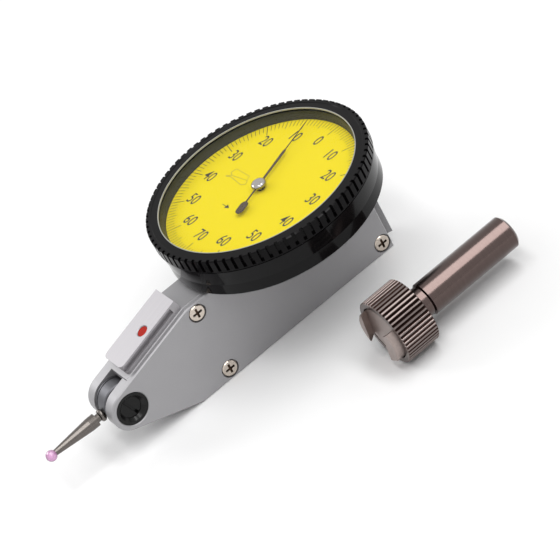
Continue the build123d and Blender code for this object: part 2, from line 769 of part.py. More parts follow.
# Centre arbor: the pinion under the crown gear's teeth and the spindle up to the pointer
centre_tip = centre_pitch_radius - mesh_gap / 2
arbor_top_z = pointer_z + pointer_thickness + 0.25
with BuildPart() as centre_arbor:
    upright(0, 0, centre_arbor_radius, tab_z + 0.05, arbor_top_z)
    with BuildSketch(Plane.XY.offset(centre_pinion_z)):
        Circle(centre_tip)
        with PolarLocations(centre_tip, pinion_teeth):
            Rectangle(2 * tooth_height, tooth_height, mode=Mode.SUBTRACT)
    extrude(amount=centre_pinion_height)
centre_arbor.part.label = "centre_arbor"
export_step(centre_arbor.part, "parts/centre_arbor.step")

# Collet that holds the hairspring's inner end on the arbor
with BuildPart() as hairspring_collet:
    collet_low_z = hairspring_z - side_gap
    collet_high_z = hairspring_z + hairspring_height + side_gap
    upright(0, 0, hairspring_inner - side_gap, collet_low_z, collet_high_z)
    upright(0, 0, centre_arbor_radius + seat_gap, collet_low_z, collet_high_z, Mode.SUBTRACT)
hairspring_collet.part.label = "hairspring_collet"
export_step(hairspring_collet.part, "parts/hairspring_collet.step")


def spiral(inset):
    """Points of the hairspring's coil, set in or out by half the strip."""
    points_per_turn = 12
    steps = hairspring_turns * points_per_turn
    growth = (hairspring_outer - hairspring_inner) / steps
    points = []
    for step in range(steps + 1):
        radius = hairspring_inner + growth * step + inset
        angle = 2 * math.pi * step / points_per_turn
        points.append((radius * math.cos(angle), radius * math.sin(angle)))
    return points


# Hairspring: flat spiral strip that takes up the play of the gears
with BuildPart() as hairspring:
    with BuildSketch(Plane.XY.offset(hairspring_z)):
        with BuildLine():
            inner_side = Spline(*spiral(0))
            outer_side = Spline(*spiral(hairspring_thickness))
            Line(inner_side @ 0, outer_side @ 0)
            Line(inner_side @ 1, outer_side @ 1)
        make_face()
    extrude(amount=hairspring_height)
hairspring.part.label = "hairspring"
export_step(hairspring.part, "parts/hairspring.step")

# Stud in the chamber's roof that holds the hairspring's outer end
spring_stud_radius = 0.3
spring_stud_x = hairspring_outer + hairspring_thickness + seat_gap + spring_stud_radius
with BuildPart() as hairspring_stud:
    upright(spring_stud_x, 0, spring_stud_radius, hairspring_z - side_gap, bushing_low_z)
hairspring_stud.part.label = "hairspring_stud"
export_step(hairspring_stud.part, "parts/hairspring_stud.step")

# Long bushing that guides the centre arbor through the roof and the case
with BuildPart() as centre_bushing:
    upright(0, 0, bushing_radius, bushing_low_z, bushing_top_z)
    upright(0, 0, centre_arbor_radius + running_gap, bushing_low_z, bushing_top_z, Mode.SUBTRACT)
centre_bushing.part.label = "centre_bushing"
export_step(centre_bushing.part, "parts/centre_bushing.step")

# Dial case: black turned cup, seated on the body's top
case_inner = case_top_radius - case_wall
case_hole = bushing_radius + screw_hole_gap
case_foot_round = 0.35
with BuildPart() as dial_case:
    turned([
        (case_hole, body_top_z),
        (case_seat_radius, body_top_z),
        (case_seat_radius, case_bottom_z),
        (case_waist_radius - case_foot_round, case_bottom_z),
        (case_waist_radius, case_bottom_z + case_foot_round),
        (case_waist_radius, case_bottom_z + case_waist_height),
        (case_top_radius, case_top_z),
        (case_inner, case_top_z),
        (case_inner, case_floor_top),
        (case_hole, case_floor_top),
    ])
    for x, y in case_screw_places:
        upright(x, y, screw_shank_radius + screw_hole_gap, body_top_z, case_floor_top, Mode.SUBTRACT)
dial_case.part.label = "dial_case"
export_step(dial_case.part, "parts/dial_case.step")

# Two screws that hold the case to the body
with BuildPart() as case_screws:
    for x, y in case_screw_places:
        upright(x, y, case_screw_head_radius, case_floor_top, case_floor_top + case_screw_head_height)
        upright(x, y, screw_shank_radius, bushing_low_z + side_gap, case_floor_top)
    with BuildSketch(Plane.XY.offset(case_floor_top + case_screw_head_height / 2)):
        with Locations(*case_screw_places):
            Rectangle(2 * case_screw_head_radius, case_screw_head_radius / 4)
    extrude(amount=case_screw_head_height, mode=Mode.SUBTRACT)
case_screws.part.label = "case_screws"
export_step(case_screws.part, "parts/case_screws.step")

# Bezel: knurled ring with the seat of the dial and a spigot inside the case
bezel_low_z = bezel_top_z - bezel_height
spigot_outer = case_inner - spigot_gap
spigot_low_z = bezel_low_z - spigot_depth
ledge_z = dial_z - dial_thickness
ledge_radius = dial_radius - dial_ledge
lip_radius = window_radius + gasket_width + seat_gap
rim_bevel = 0.18
rim_step = 0.08
rim_width = 0.75
wire_radius = 0.14
groove_depth = 0.25
groove_height = 0.4
groove_low_z = bezel_low_z - spigot_depth / 2 - groove_height / 2
groove_high_z = groove_low_z + groove_height
with BuildPart() as bezel:
    turned([
        (spigot_outer, bezel_low_z),
        (bezel_radius - rim_bevel, bezel_low_z),
        (bezel_radius, bezel_low_z + rim_bevel),
        (bezel_radius, bezel_top_z - rim_bevel),
        (bezel_radius - rim_bevel, bezel_top_z),
        (bezel_radius - rim_bevel - rim_width, bezel_top_z),
        (bezel_radius - rim_bevel - rim_width - rim_step, bezel_top_z - rim_step),
        (lip_radius, bezel_top_z - rim_step),
        (lip_radius, crystal_top_z),
        (dial_bore_radius, crystal_top_z),
        (dial_bore_radius, ledge_z),
        (ledge_radius, ledge_z),
        (ledge_radius, spigot_low_z),
        (spigot_outer, spigot_low_z),
        (spigot_outer, groove_low_z),
        (spigot_outer - groove_depth, groove_low_z),
        (spigot_outer - groove_depth, groove_high_z),
        (spigot_outer, groove_high_z),
    ])
    with BuildSketch(Plane.XY.offset(bezel_top_z - knurl_height)):
        with PolarLocations(bezel_radius, knurl_count):
            Rectangle(2 * knurl_depth, knurl_width)
    extrude(amount=knurl_height, mode=Mode.SUBTRACT)
bezel.part.label = "bezel"
export_step(bezel.part, "parts/bezel.step")

# Wire ring in the spigot's groove, whose friction keeps the bezel where it is set
with BuildPart() as bezel_spring:
    with BuildSketch(Plane.XZ):
        with Locations((case_inner - seat_gap - wire_radius, (groove_low_z + groove_high_z) / 2)):
            Circle(wire_radius)
    revolve(axis=Axis.Z)
bezel_spring.part.label = "bezel_spring"
export_step(bezel_spring.part, "parts/bezel_spring.step")

# Dial plate, pressed on the bezel's ledge and turned with it
with BuildPart() as dial_plate:
    upright(0, 0, dial_radius, ledge_z, dial_z)
    upright(0, 0, dial_hole_radius, ledge_z, dial_z, Mode.SUBTRACT)
dial_plate.part.label = "dial_plate"
export_step(dial_plate.part, "parts/dial_plate.step")

# Sloping ring between the dial and the crystal
with BuildPart() as dial_ring:
    turned([
        (dial_ring_foot_radius, dial_z),
        (dial_radius, dial_z),
        (dial_radius, crystal_low_z),
        (window_radius, crystal_low_z),
    ])
dial_ring.part.label = "dial_ring"
export_step(dial_ring.part, "parts/dial_ring.step")

# Flat crystal under the bezel's lip
with BuildPart() as crystal:
    upright(0, 0, dial_radius, crystal_low_z, crystal_top_z)
crystal.part.label = "crystal"
export_step(crystal.part, "parts/crystal.step")

# Pale sealing ring round the crystal's window
with BuildPart() as crystal_gasket:
    upright(0, 0, window_radius + gasket_width, crystal_top_z, bezel_top_z - gasket_drop)
    upright(0, 0, window_radius, crystal_top_z, bezel_top_z - gasket_drop, Mode.SUBTRACT)
crystal_gasket.part.label = "crystal_gasket"
export_step(crystal_gasket.part, "parts/crystal_gasket.step")

# Pointer: lance, thin needle, tail and oval counterweight
pointer_plane = Plane.XY.offset(pointer_z).rotated((0, 0, pointer_angle))
lance_end = 8.3
lance_half = 0.28
lance_root_half = 0.2
tail_overlap = 0.3
needle_half = 0.08
tip_half = 0.04
with BuildPart() as pointer:
    with BuildSketch(pointer_plane):
        Circle(0.9 * pointer_cap_radius)
        Polygon(
            (0, -lance_root_half),
            (lance_end, -lance_half),
            (lance_end + 2 * lance_half, -needle_half),
            (pointer_length, -tip_half),
            (pointer_length, tip_half),
            (lance_end + 2 * lance_half, needle_half),
            (lance_end, lance_half),
            (0, lance_root_half),
            align=None,
        )
        with Locations((-(counterweight_start + tail_overlap) / 2, 0)):
            Rectangle(counterweight_start + tail_overlap, lance_half)
        with Locations((-(counterweight_start + counterweight_end) / 2, 0)):
            SlotOverall(counterweight_end - counterweight_start, 2 * counterweight_half_width)
        Circle(centre_arbor_radius + seat_gap, mode=Mode.SUBTRACT)
    extrude(amount=pointer_thickness)
pointer.part.label = "pointer"
export_step(pointer.part, "parts/pointer.step")

# Domed cap that presses the pointer onto its arbor
cap_low_z = pointer_z + pointer_thickness
cap_round = 0.9 * pointer_cap_height
with BuildPart() as pointer_cap:
    upright(0, 0, pointer_cap_radius, cap_low_z, cap_low_z + pointer_cap_height)
    fillet(pointer_cap.faces().sort_by(Axis.Z)[-1].edges(), cap_round)
    upright(0, 0, centre_arbor_radius + seat_gap, cap_low_z, arbor_top_z + seat_gap, Mode.SUBTRACT)
pointer_cap.part.label = "pointer_cap"
export_step(pointer_cap.part, "parts/pointer_cap.step")

# Stem shank: round bar with a necked front that carries the clamp collar
collar_rear_x = stem_front_x + collar_length
neck_front_x = collar_rear_x - neck_overlap
clip_x = neck_front_x + side_gap
with BuildPart() as stem_shank:
    along_stem(shank_radius, shank_start_x, shank_end_x)
    chamfer(stem_shank.faces().sort_by(Axis.X)[-1].edges(), shank_rear_bevel)
    chamfer(stem_shank.faces().sort_by(Axis.X)[0].edges(), shank_front_bevel)
    along_stem(neck_radius, neck_front_x, shank_start_x)
    along_stem(neck_radius, clip_x, clip_x + clip_thickness, Mode.SUBTRACT)
    along_stem(neck_radius - clip_groove_depth, clip_x, clip_x + clip_thickness)
    with BuildSketch(Plane.YZ.offset(neck_front_x)):
        with Locations((stem_y, collar_radius)):
            Rectangle(2 * (key_half + key_room), 2 * (key_half + key_room))
    extrude(amount=key_pocket_depth, mode=Mode.SUBTRACT)
stem_shank.part.label = "stem_shank"
export_step(stem_shank.part, "parts/stem_shank.step")

# Spring clip in the neck's groove, which keeps the collar on the shank
with BuildPart() as stem_clip:
    along_stem(clip_radius, clip_x + seat_gap, clip_x + clip_thickness - seat_gap)
    along_stem(neck_radius - clip_groove_depth + seat_gap, clip_x, clip_x + clip_thickness, Mode.SUBTRACT)
    with BuildSketch(Plane.YZ.offset(clip_x)):
        with Locations((stem_y + clip_radius, collar_radius)):
            Rectangle(2 * clip_radius, neck_radius)
    extrude(amount=clip_thickness, mode=Mode.SUBTRACT)
stem_clip.part.label = "stem_clip"
export_step(stem_clip.part, "parts/stem_clip.step")

# Knurled clamp collar: turns on the neck and draws the jaws in by its thread
recess_x = stem_front_x + collar_recess_depth
with BuildPart() as clamp_collar:
    along_stem(collar_radius, stem_front_x, collar_rear_x)
    chamfer(clamp_collar.faces().filter_by(Axis.X).edges(), collar_bevel)
    with BuildSketch(Plane.YZ.offset(stem_front_x)):
        with Locations((stem_y, collar_radius)):
            with PolarLocations(collar_radius, collar_knurl_count):
                Rectangle(1.5 * collar_knurl_depth, 1.5 * collar_knurl_depth, rotation=45)
    extrude(amount=collar_length, mode=Mode.SUBTRACT)
    along_stem(collar_recess_radius, stem_front_x, recess_x, Mode.SUBTRACT)
    along_stem(thread_radius + sleeve_gap, recess_x, collar_rear_x, Mode.SUBTRACT)
    clip_room_end_x = clip_x + clip_thickness + seat_gap
    along_stem(clip_radius + side_gap, neck_front_x - side_gap, clip_room_end_x, Mode.SUBTRACT)
    along_stem(neck_radius + sleeve_gap, neck_front_x, collar_rear_x, Mode.SUBTRACT)
clamp_collar.part.label = "clamp_collar"
export_step(clamp_collar.part, "parts/clamp_collar.step")

# Jaws: round head with the dovetail groove, threaded spigot and square key
jaw_front_x = stem_front_x - jaw_reach
jaw_back_x = recess_x - jaw_travel - side_gap
spigot_end_x = neck_front_x - jaw_travel - side_gap
groove_reach = dovetail_depth + sleeve_gap
groove_tilt = math.radians(jaw_groove_angle)
groove_plane = Plane(
    origin=(jaw_front_x, stem_y, collar_radius),
    x_dir=(1, 0, 0),
    z_dir=(0, -math.sin(groove_tilt), math.cos(groove_tilt)),
)
with BuildPart() as stem_jaws:
    along_stem(jaw_radius, jaw_front_x, jaw_back_x)
    chamfer(stem_jaws.faces().sort_by(Axis.X)[0].edges(), jaw_bevel)
    along_stem(thread_radius, jaw_back_x, spigot_end_x)
    with BuildSketch(Plane.YZ.offset(spigot_end_x)):
        with Locations((stem_y, collar_radius)):
            Rectangle(2 * key_half, 2 * key_half)
    extrude(amount=key_length)
    with BuildSketch(groove_plane):
        Polygon(
            (0, jaw_groove_shift - jaw_mouth_half),
            (groove_reach, jaw_groove_shift - jaw_root_half),
            (groove_reach, jaw_groove_shift + jaw_root_half),
            (0, jaw_groove_shift + jaw_mouth_half),
            align=None,
        )
    extrude(amount=collar_radius, both=True, mode=Mode.SUBTRACT)
    # The near lip ends at a slanting line that starts on the stem's axis
    with BuildSketch(Plane.YZ.offset(jaw_front_x)):
        with Locations((stem_y, collar_radius)):
            Polygon(
                (0, 0),
                (-collar_radius, collar_radius * math.tan(math.radians(jaw_lip_angle))),
                (-collar_radius, collar_radius),
                (0, collar_radius),
                align=None,
            )
    extrude(amount=groove_reach, mode=Mode.SUBTRACT)
stem_jaws.part.label = "stem_jaws"
export_step(stem_jaws.part, "parts/stem_jaws.step")

print("degrees of pointer for one degree of lever:", gear_ratio)
print("sector ratio:", sector_ratio, "crown ratio:", crown_ratio)
print("short arm:", short_arm, "ball x:", ball_x)
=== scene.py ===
"""Dial test indicator with its separate dovetail stem, in the photograph's view. Metres, +Z up."""
import math

import bpy
from mathutils import Matrix, Vector


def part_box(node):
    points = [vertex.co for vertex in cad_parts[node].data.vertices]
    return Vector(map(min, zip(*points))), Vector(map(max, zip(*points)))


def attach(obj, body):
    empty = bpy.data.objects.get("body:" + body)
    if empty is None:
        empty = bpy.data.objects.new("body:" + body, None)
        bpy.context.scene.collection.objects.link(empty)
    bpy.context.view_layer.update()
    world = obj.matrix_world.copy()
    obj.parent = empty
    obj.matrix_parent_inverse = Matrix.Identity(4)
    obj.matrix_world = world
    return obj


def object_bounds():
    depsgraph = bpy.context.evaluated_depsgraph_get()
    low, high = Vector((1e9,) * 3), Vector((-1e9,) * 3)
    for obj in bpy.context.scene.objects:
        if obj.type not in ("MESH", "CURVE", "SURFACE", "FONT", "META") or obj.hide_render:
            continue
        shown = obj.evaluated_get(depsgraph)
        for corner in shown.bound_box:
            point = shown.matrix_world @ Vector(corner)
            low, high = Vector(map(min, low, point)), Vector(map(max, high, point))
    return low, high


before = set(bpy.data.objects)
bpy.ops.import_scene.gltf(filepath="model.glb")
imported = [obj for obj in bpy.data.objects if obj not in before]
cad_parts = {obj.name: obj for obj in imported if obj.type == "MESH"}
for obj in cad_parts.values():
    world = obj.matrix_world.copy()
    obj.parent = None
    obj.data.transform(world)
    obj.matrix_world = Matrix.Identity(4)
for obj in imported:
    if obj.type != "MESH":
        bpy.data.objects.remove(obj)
cad_low, cad_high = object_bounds()

# Camera: a long lens held high on the screwed side, a little towards the stylus and rolled, so that
# the indicator lies across the square from its ball at the lower left to the stem at the right.
mm = 0.001
camera_place = Vector((-106.551, -330.126, 243.601)) * mm
camera_right = Vector((0.75139, -0.52174, -0.40398))
camera_down = Vector((-0.61362, -0.32733, -0.71856))
camera_forward = Vector((0.24267, 0.78781, -0.5661))
bpy.ops.object.camera_add()
camera = bpy.context.object
camera.data.sensor_width = 36
camera.data.lens = 160.7
camera.data.clip_start = 0.01
axes = Matrix((camera_right, -camera_down, -camera_forward)).transposed()
camera.matrix_world = Matrix.Translation(camera_place) @ axes.to_4x4()
bpy.context.scene.camera = camera

# Studio: a long soft box and a narrow strip overhead, which draw the stripes down the stem and
# down the stylus. One box behind lights the sloping faces, and one in front lights the near side.
def soft_box(name, place, aim, width, height, power):
    """Adds one rectangular lamp that looks from its place at a point on the object."""
    bpy.ops.object.light_add(type="AREA")
    lamp = bpy.context.object
    lamp.name = name
    lamp.data.shape = "RECTANGLE"
    lamp.data.size = width
    lamp.data.size_y = height
    lamp.data.energy = power
    way = Vector(aim) - Vector(place)
    turn = way.to_track_quat("-Z", "Y").to_matrix().to_4x4()
    lamp.matrix_world = Matrix.Translation(Vector(place)) @ turn


soft_box(
    "box_above",
    place=(0.22, -0.20, 0.58), aim=(0.22, -0.02, 0.01),
    width=0.16, height=0.58, power=1.8,
)
soft_box(
    "box_behind",
    place=(-0.34, 0.66, 0.50), aim=(-0.02, 0, 0.01),
    width=0.44, height=0.36, power=2.3,
)
soft_box(
    "box_front",
    place=(-0.12, -0.44, 0.44), aim=(0, 0, 0.01),
    width=0.30, height=0.16, power=0.3,
)
soft_box(
    "strip_stylus",
    place=(-0.09, -0.18, 0.56), aim=(-0.09, 0, 0.01),
    width=0.10, height=0.56, power=0.95,
)


# Every finish below is made of shader nodes. Link wraps one output, so that sums on values are
# written as plain maths. Finish holds one material and adds any other node by its type.
class Link:
    """One output of a node, so that a sum on it adds the Math nodes that work it out."""

    def __init__(self, finish, output):
        self.finish = finish
        self.output = output

    def maths(self, operation, first, second):
        return self.finish.node("ShaderNodeMath", {"operation": operation}, {0: first, 1: second})

    def __add__(self, other):
        return self.maths("ADD", self, other)

    def __radd__(self, other):
        return self.maths("ADD", other, self)

    def __sub__(self, other):
        return self.maths("SUBTRACT", self, other)

    def __rsub__(self, other):
        return self.maths("SUBTRACT", other, self)

    def __mul__(self, other):
        return self.maths("MULTIPLY", self, other)

    def __rmul__(self, other):
        return self.maths("MULTIPLY", other, self)

    def __pow__(self, other):
        return self.maths("POWER", self, other)

    def __gt__(self, other):
        return self.maths("GREATER_THAN", self, other)

    def __lt__(self, other):
        return self.maths("LESS_THAN", self, other)


class Finish:
    """A material on the Principled shader, with its fixed values set on the shader's sockets."""

    def __init__(self, name, **fixed):
        self.material = bpy.data.materials.new(name)
        self.material.use_nodes = True
        self.tree = self.material.node_tree
        self.shader = self.tree.nodes["Principled BSDF"]
        for words, value in fixed.items():
            socket = words.replace("_", " ").title().replace("Ior", "IOR")
            self.shader.inputs[socket].default_value = value

    def node(self, kind, settings, inputs, output=0):
        """Adds a node: its settings first, then the values or links of its sockets."""
        added = self.tree.nodes.new(kind)
        for name, value in settings.items():
            setattr(added, name, value)
        for name, value in inputs.items():
            if isinstance(value, Link):
                self.tree.links.new(value.output, added.inputs[name])
            else:
                added.inputs[name].default_value = value
        return Link(self, added.outputs[output])

    def place(self, scale=(1, 1, 1), centre=(0, 0, 0)):
        """Object coordinates, moved so that centre is at zero and then stretched."""
        where = self.node("ShaderNodeTexCoord", {}, {}, "Object")
        shift = [-c * s for c, s in zip(centre, scale)]
        inputs = {"Vector": where, "Scale": scale, "Location": shift}
        return self.node("ShaderNodeMapping", {}, inputs)

    def along(self, axis):
        """One of the object coordinates, in metres."""
        where = self.node("ShaderNodeTexCoord", {}, {}, "Object")
        return self.node("ShaderNodeSeparateXYZ", {}, {"Vector": where}, axis)

    def noise(self, vector, scale, detail=2.0):
        """Soft random spots from 0 to 1. A larger scale makes them smaller."""
        inputs = {"Vector": vector, "Scale": scale, "Detail": detail}
        return self.node("ShaderNodeTexNoise", {}, inputs, "Fac")

    def blend(self, amount, first, second):
        """Colour between two colours, by amount."""
        settings = {"data_type": "RGBA"}
        return self.node("ShaderNodeMix", settings, {"Factor": amount, 6: first, 7: second}, 2)

    def set(self, **linked):
        """Links what changes over the surface to the shader's sockets."""
        for words, value in linked.items():
            socket = self.shader.inputs[words.replace("_", " ").title()]
            self.tree.links.new(value.output, socket)

    def bump(self, height, strength, distance):
        """Raises the surface by a value, in metres at full strength."""
        inputs = {"Height": height, "Strength": strength, "Distance": distance}
        self.set(Normal=self.node("ShaderNodeBump", {}, inputs))

    def on(self, *names):
        """Puts this finish on CAD nodes."""
        for name in names:
            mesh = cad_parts[name].data
            mesh.materials.clear()
            mesh.materials.append(self.material)


# Body: two halves milled from light alloy, blasted with fine beads and plated a silvery grey. The
# cover is screwed to the housing, and fine bevels run along every outer edge.
blasted = Finish("blasted_alloy", metallic=0.75)
grain = blasted.noise(blasted.place(), scale=9000, detail=3)
cloud = blasted.noise(blasted.place(), scale=90)
blasted.set(
    base_color=blasted.blend(cloud, (0.34, 0.335, 0.345, 1), (0.39, 0.385, 0.395, 1)),
    roughness=0.46 + grain * 0.18,
)
blasted.bump(grain, strength=0.35, distance=0.02 * mm)
blasted.on("housing", "side_cover")

# Block on the slope: the same metal as the body, ground along its length and left brighter. Its
# sides are undercut for the stem's jaws, and one screw holds it from above.
bright = Finish("block_metal", metallic=0.7)
streaks = bright.noise(bright.place(scale=(60, 5000, 60)), scale=1.0, detail=3)
bright.set(
    base_color=bright.blend(streaks, (0.34, 0.33, 0.345, 1), (0.43, 0.415, 0.43, 1)),
    roughness=0.42 + streaks * 0.14,
)
bright.bump(streaks, strength=0.2, distance=0.01 * mm)
bright.on("front_dovetail")

# Small screws: turned steel with a warm nickel plate. The recess of each head is painted a dark
# brown as shade, so it is darker than the rim round it.
cover_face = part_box("side_cover")[0].y
head_room = 0.15 * mm
nickel = Finish("screw_nickel", metallic=1.0)
speck = nickel.noise(nickel.place(), scale=4000)
plate = nickel.blend(speck, (0.56, 0.49, 0.42, 1), (0.68, 0.61, 0.54, 1))
# Mask of the recess below each head's face, where a dark brown is painted as shade and the surface
# is rougher.
recess_painted_shade = nickel.along("Y") > cover_face + head_room
nickel.set(
    base_color=nickel.blend(recess_painted_shade, plate, (0.09, 0.06, 0.042, 1)),
    roughness=0.20 + speck * 0.12 + recess_painted_shade * 0.3,
)
nickel.bump(speck, strength=0.1, distance=0.01 * mm)
nickel.on("cover_screws")
washed = Finish("inner_screw_nickel", metallic=1.0)
smear = washed.noise(washed.place(), scale=4000)
washed.set(
    base_color=washed.blend(smear, (0.60, 0.54, 0.47, 1), (0.70, 0.64, 0.57, 1)),
    roughness=0.22 + smear * 0.12,
)
washed.on("block_screw", "bridge_screws", "case_screws", "stem_clip")

# Drop of red lacquer that seals the block's screw. It is brushed on, and dries with a soft wavy
# skin a little below the rim of its hole.
lacquer = Finish("red_lacquer", specular_ior_level=0.06)
wave = lacquer.noise(lacquer.place(), scale=1500)
lacquer.set(
    base_color=lacquer.blend(wave, (0.30, 0.008, 0.004, 1), (0.50, 0.020, 0.008, 1)),
    roughness=0.3 + wave * 0.2,
)
lacquer.bump(wave, strength=0.4, distance=0.05 * mm)
lacquer.on("seal_plug")

# Pivot rings and screws: steel blackened in hot oil, so they are black with a soft sheen. The rings
# are screwed into the two ears, and the slotted screws inside them carry the lever.
blackened = Finish("blackened_steel", specular_ior_level=0.22)
turned = blackened.place(scale=(1, 0.2, 1), centre=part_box("pivot_rings")[0])
tool_marks = blackened.noise(turned, scale=3000)
blackened.set(
    base_color=blackened.blend(tool_marks, (0.003, 0.003, 0.003, 1), (0.008, 0.008, 0.008, 1)),
    roughness=0.14 + tool_marks * 0.14,
)
blackened.bump(tool_marks, strength=0.15, distance=0.01 * mm)
blackened.on("pivot_rings", "pivot_screws")

# Stylus drum and the lever under it: hardened steel, ground across and left a matt grey. The
# drum sits on the lever by friction, so that the stylus can be set at another angle.
hardened = Finish("hardened_steel", metallic=0.9)
ground = hardened.noise(hardened.place(scale=(1, 6, 1)), scale=2500, detail=3)
hardened.set(
    base_color=hardened.blend(ground, (0.09, 0.09, 0.10, 1), (0.14, 0.14, 0.15, 1)),
    roughness=0.38 + ground * 0.14,
)
hardened.bump(ground, strength=0.1, distance=0.01 * mm)
hardened.on("stylus_drum", "lever_arm")

# Stylus: a cone turned in steel and ground to a satin finish, with a round collar and a neck for
# the key that screws it into its drum. The wheel leaves fine rings round it.
ground_steel = Finish("ground_steel", metallic=1.0)
rings = ground_steel.noise(ground_steel.place(scale=(16, 0.4, 0.4)), scale=700)
ground_steel.set(
    base_color=ground_steel.blend(rings, (0.11, 0.098, 0.090, 1), (0.17, 0.156, 0.145, 1)),
    roughness=0.18 + rings * 0.12,
)
ground_steel.bump(rings, strength=0.12, distance=0.01 * mm)
ground_steel.on("stylus")

# Ball: polished synthetic ruby, pink and a little clear. Its colour is painted darker towards its
# outline as shade. It is drilled halfway through and glued on the stylus's tenon.
ruby = Finish("ruby", ior=1.76, coat_weight=0.5, transmission_weight=0.35, specular_ior_level=0.8)
depth = ruby.noise(ruby.place(), scale=900)
clear_pink = ruby.blend(depth, (0.86, 0.34, 0.72, 1), (0.97, 0.58, 0.92, 1))
# Facing mask that paints a dark shade onto the ball towards its outline.
edge_painted_shade = ruby.node("ShaderNodeLayerWeight", {}, {"Blend": 0.5}, "Facing") ** 1.2
ruby.set(
    base_color=ruby.blend(edge_painted_shade, clear_pink, (0.12, 0.02, 0.08, 1)),
    roughness=0.04 + depth * 0.04,
)
ruby.on("ruby_ball")

# Movement, shut inside the body: brass wheels, plates and collets, cut and left bright. They turn
# on polished steel arbors, and two parts are of rolled spring bronze.
brass = Finish("cut_brass", metallic=1.0)
lathe = brass.noise(brass.place(scale=(3, 3, 0.5)), scale=1500)
brass.set(
    base_color=brass.blend(lathe, (0.62, 0.42, 0.16, 1), (0.72, 0.52, 0.24, 1)),
    roughness=0.25 + lathe * 0.15,
)
brass.on("movement_bridge", "sector_gear", "crown_gear", "centre_bushing")
brass.on("hairspring_collet", "hairspring_stud")
arbor_steel = Finish("arbor_steel", metallic=1.0)
polish = arbor_steel.noise(arbor_steel.place(), scale=3000)
arbor_steel.set(
    base_color=arbor_steel.blend(polish, (0.5, 0.5, 0.52, 1), (0.6, 0.6, 0.62, 1)),
    roughness=0.15 + polish * 0.1,
)
arbor_steel.on("sector_arbor", "crown_arbor", "centre_arbor", "drive_pin")
arbor_steel.on("bridge_pillars", "bezel_spring")
bronze = Finish("spring_bronze", metallic=1.0)
rolled = bronze.noise(bronze.place(), scale=2000)
bronze.set(
    base_color=bronze.blend(rolled, (0.45, 0.26, 0.12, 1), (0.55, 0.35, 0.18, 1)),
    roughness=0.25 + rolled * 0.15,
)
bronze.on("hairspring", "clutch_washers")

# Case: turned alloy under a deep glossy black, so that its skirt mirrors the body below it. Two
# screws from inside hold it on the body.
glossy = Finish("case_black", specular_ior_level=0.14)
mist = glossy.noise(glossy.place(), scale=200, detail=3)
glossy.set(
    base_color=glossy.blend(mist, (0.0020, 0.0020, 0.0024, 1), (0.0040, 0.0036, 0.0040, 1)),
    roughness=0.07 + mist * 0.06,
)
glossy.on("dial_case")

# Bezel: the same alloy, anodised black with less gloss. It snaps on the case with a wire ring, and
# its knurl is there to turn the dial by.
black = Finish("bezel_black", specular_ior_level=0.09)
haze = black.noise(black.place(), scale=200, detail=3)
black.set(
    base_color=black.blend(haze, (0.0020, 0.0019, 0.0024, 1), (0.0044, 0.0038, 0.0042, 1)),
    roughness=0.09 + haze * 0.08,
)
fine = black.noise(black.place(), scale=6000)
black.bump(fine, strength=0.05, distance=0.01 * mm)
black.on("bezel")

# Wall between the dial and the window: a sloping ring, turned and anodised a dull dark grey. It is
# pressed in over the dial and carries the crystal.
wall_grey = Finish("ring_grey", metallic=0.4, specular_ior_level=0.2)
dust = wall_grey.noise(wall_grey.place(), scale=1200)
wall_grey.set(
    base_color=wall_grey.blend(dust, (0.030, 0.032, 0.022, 1), (0.050, 0.052, 0.036, 1)),
    roughness=0.38 + dust * 0.12,
)
wall_grey.on("dial_ring")

# Seal: a thin ring of pale grey rubber between the bezel's lip and the crystal. It keeps oil out
# and shows as one fine line round the window.
seal = Finish("gasket_pale")
seal_tone = seal.noise(seal.place(), scale=900)
seal.set(
    base_color=seal.blend(seal_tone, (0.30, 0.30, 0.27, 1), (0.42, 0.42, 0.38, 1)),
    roughness=0.4 + seal_tone * 0.2,
)
seal.on("crystal_gasket")

# Dial: a thin metal disc with a bright yellow enamel. It is pressed on the bezel's ledge and turns
# with it, so that the zero can be set under the pointer.
enamel = Finish("dial_enamel", specular_ior_level=0.06)
tone = enamel.noise(enamel.place(), scale=90)
enamel.set(
    base_color=enamel.blend(tone, (0.80, 0.64, 0.009, 1), (0.83, 0.68, 0.013, 1)),
    roughness=0.45 + tone * 0.1,
)
enamel.on("dial_plate")

# Printing on the dial: 140 graduations, every tenth longer, and the numbers 0 to 70 and back to 0,
# printed in thin black ink. The numbers stand upright for a reader who has the stylus towards them.
ink = Finish("dial_ink")
ink_tone = ink.noise(ink.place(), scale=3000)
ink.set(
    base_color=ink.blend(ink_tone, (0.012, 0.010, 0.008, 1), (0.03, 0.026, 0.02, 1)),
    roughness=0.5 + ink_tone * 0.1,
)
dial_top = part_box("dial_plate")[1].z
ink_height = 0.012 * mm
divisions = 140
turn_step = 2 * math.pi / divisions
tick_outer = 17.25 * mm


def settle(piece, finish, body):
    """Bakes a piece's place into its mesh, gives it a finish and lets it ride on a body."""
    bpy.ops.object.select_all(action="DESELECT")
    piece.select_set(True)
    bpy.context.view_layer.objects.active = piece
    bpy.ops.object.transform_apply(location=True, rotation=True, scale=True)
    piece.data.materials.clear()
    piece.data.materials.append(finish.material)
    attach(piece, body)


def printed_bar(name, length, width):
    """One graduation along +X that ends at the dial's edge, as a thin raised bar of ink."""
    bpy.ops.object.select_all(action="DESELECT")
    bpy.ops.mesh.primitive_plane_add(size=1, location=(0, 0, 0))
    bar = bpy.context.object
    bar.name = name
    bar.scale = (length, width, 1)
    bar.location = (tick_outer - length / 2, 0, dial_top)
    bpy.ops.object.transform_apply(location=True, rotation=True, scale=True)
    bpy.ops.object.mode_set(mode="EDIT")
    bpy.ops.mesh.select_all(action="SELECT")
    bpy.ops.mesh.extrude_region_move(TRANSFORM_OT_translate={"value": (0, 0, ink_height)})
    bpy.ops.mesh.select_all(action="SELECT")
    bpy.ops.mesh.normals_make_consistent(inside=False)
    bpy.ops.object.mode_set(mode="OBJECT")
    return bar


